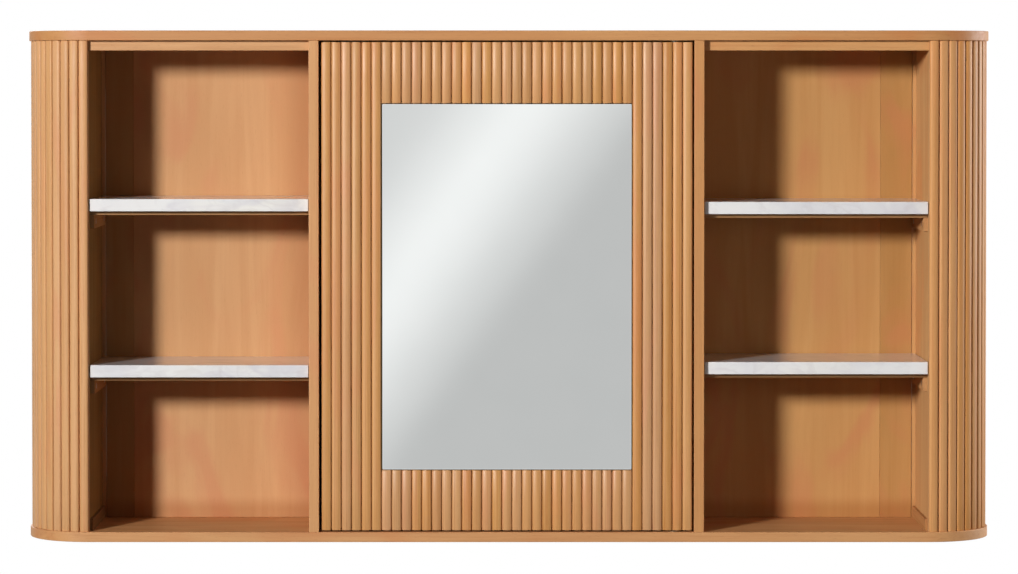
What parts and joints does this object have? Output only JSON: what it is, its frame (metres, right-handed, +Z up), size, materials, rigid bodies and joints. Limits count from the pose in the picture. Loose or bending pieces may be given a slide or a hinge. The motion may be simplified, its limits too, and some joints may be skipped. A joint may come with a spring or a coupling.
{
  "type": "mirror cabinet",
  "caption": "Wall cabinet in warm wood with rounded reeded ends, open side bays with marble shelves and a reeded push-open mirror door on pivots.",
  "frame": {"origin": "middle of the footprint, on the underside of the bottom board", "axes": "+X to the right seen from the front, +Y back towards the wall, +Z up"},
  "size_m": [1.219, 0.17, 0.641],
  "materials": {
    "wood": "satin oiled, warm brown",
    "reeds": "satin oiled, warm brown",
    "inner_wood": "sawn",
    "door_board": "satin oiled",
    "marble": "honed white marble",
    "mirror": "silvered glass",
    "tape": "foam",
    "steel": "zinc plated",
    "dark_steel": "blackened",
    "nickel": "nickel plated",
    "bronze": "darkened bronze",
    "nylon": "black",
    "grey_plastic": "moulded",
    "white_plastic": "moulded"
  },
  "bodies": {
    "case": {"top_board": "wood", "bottom_board": "wood", "left_divider": "wood", "right_divider": "wood", "left_bay_wall": "wood", "right_bay_wall": "wood", "left_top_rail": "wood", "right_top_rail": "wood", "left_foot_block": "wood", "right_foot_block": "wood", "left_corner_strip": "wood", "left_back_stile": "wood", "left_back_panel": "wood", "centre_back_panel": "wood", "right_back_panel": "wood", "right_back_stile": "wood", "right_corner_strip": "wood", "left_shelf_boards": "wood", "right_shelf_boards": "wood", "left_cleats": "wood", "right_cleats": "wood", "inner_upper_shelf": "wood", "inner_lower_shelf": "wood", "left_end_reeds": "reeds", "right_end_reeds": "reeds", "left_end_shell": "inner_wood", "right_end_shell": "inner_wood", "left_rear_post": "inner_wood", "right_rear_post": "inner_wood", "upper_hanging_rail": "inner_wood", "lower_hanging_rail": "inner_wood", "case_dowels": "inner_wood", "left_upper_marble": "marble", "left_lower_marble": "marble", "right_upper_marble": "marble", "right_lower_marble": "marble", "cleat_screws": "steel", "shelf_pins": "steel", "latch_screws": "steel", "latch_spring": "steel", "pivot_bushes": "bronze", "pivot_washer": "nylon", "latch_housing": "grey_plastic"},
    "door": {"door_panel": "door_board", "door_left_reeds": "reeds", "door_right_reeds": "reeds", "door_top_reeds": "reeds", "door_bottom_reeds": "reeds", "mirror_glass": "mirror", "mirror_tape": "tape", "pivot_plates": "dark_steel", "pivot_pins": "dark_steel", "pivot_plate_screws": "dark_steel", "strike_plate": "steel", "strike_screws": "steel"},
    "latch_plunger": {"latch_plunger": "white_plastic", "latch_magnet": "nickel"}
  },
  "joints": [
    {"name": "door_pivot", "type": "hinge", "parent": "case", "child": "door", "pos_m": [0.20727, -0.07187, 0.3205], "axis": [0, 0, 1], "range_deg": [0, 95]},
    {"name": "latch_push", "type": "slide", "parent": "case", "child": "latch_plunger", "axis": [0, 1, 0], "range_m": [0, 0.003], "stiffness_N_per_m": 500, "springref_m": -0.004, "deforming": ["latch_spring"]}
  ]
}
